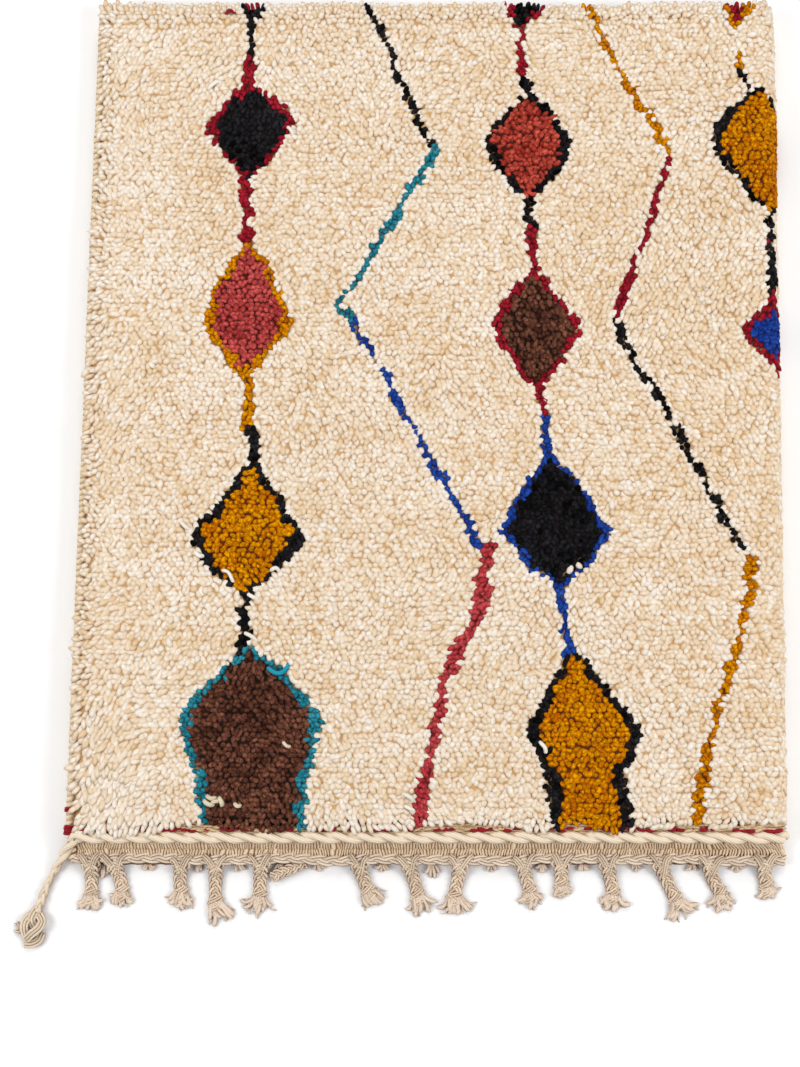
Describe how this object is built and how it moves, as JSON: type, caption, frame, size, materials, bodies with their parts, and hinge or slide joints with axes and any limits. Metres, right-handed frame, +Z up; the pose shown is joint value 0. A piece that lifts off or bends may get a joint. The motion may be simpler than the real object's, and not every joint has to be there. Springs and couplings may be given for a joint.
{
  "type": "folded shag wool rug",
  "caption": "Thick shag wool rug with lozenges and zigzags, folded in two along its length, with wrapped sides, a flat-woven end band, a twined cord and plaited tassels.",
  "frame": {"origin": "on the underside, midway between the side edges of the folded pile cloth and midway along it", "axes": "+Z up out of the shown pile, +Y along the rug from the fringed end to the far end, +X towards the fold"},
  "size_m": [0.8062, 1.029, 0.0454],
  "materials": {
    "pile": "matte cream wool shag with lozenges and zigzags in black, crimson, mustard, blue and teal",
    "band": "matte beige ribbed flat-woven wool",
    "cord": "matte cream twisted wool yarn",
    "selvage": "matte beige-brown wool wrapped edge",
    "warp_ends": "matte undyed plaited wool warp"
  },
  "bodies": {
    "root": {"rug_body": "pile", "kilim_band": "band", "twined_cord": "cord", "selvage_top": "selvage", "selvage_under": "selvage", "fringe": "warp_ends"}
  },
  "joints": []
}
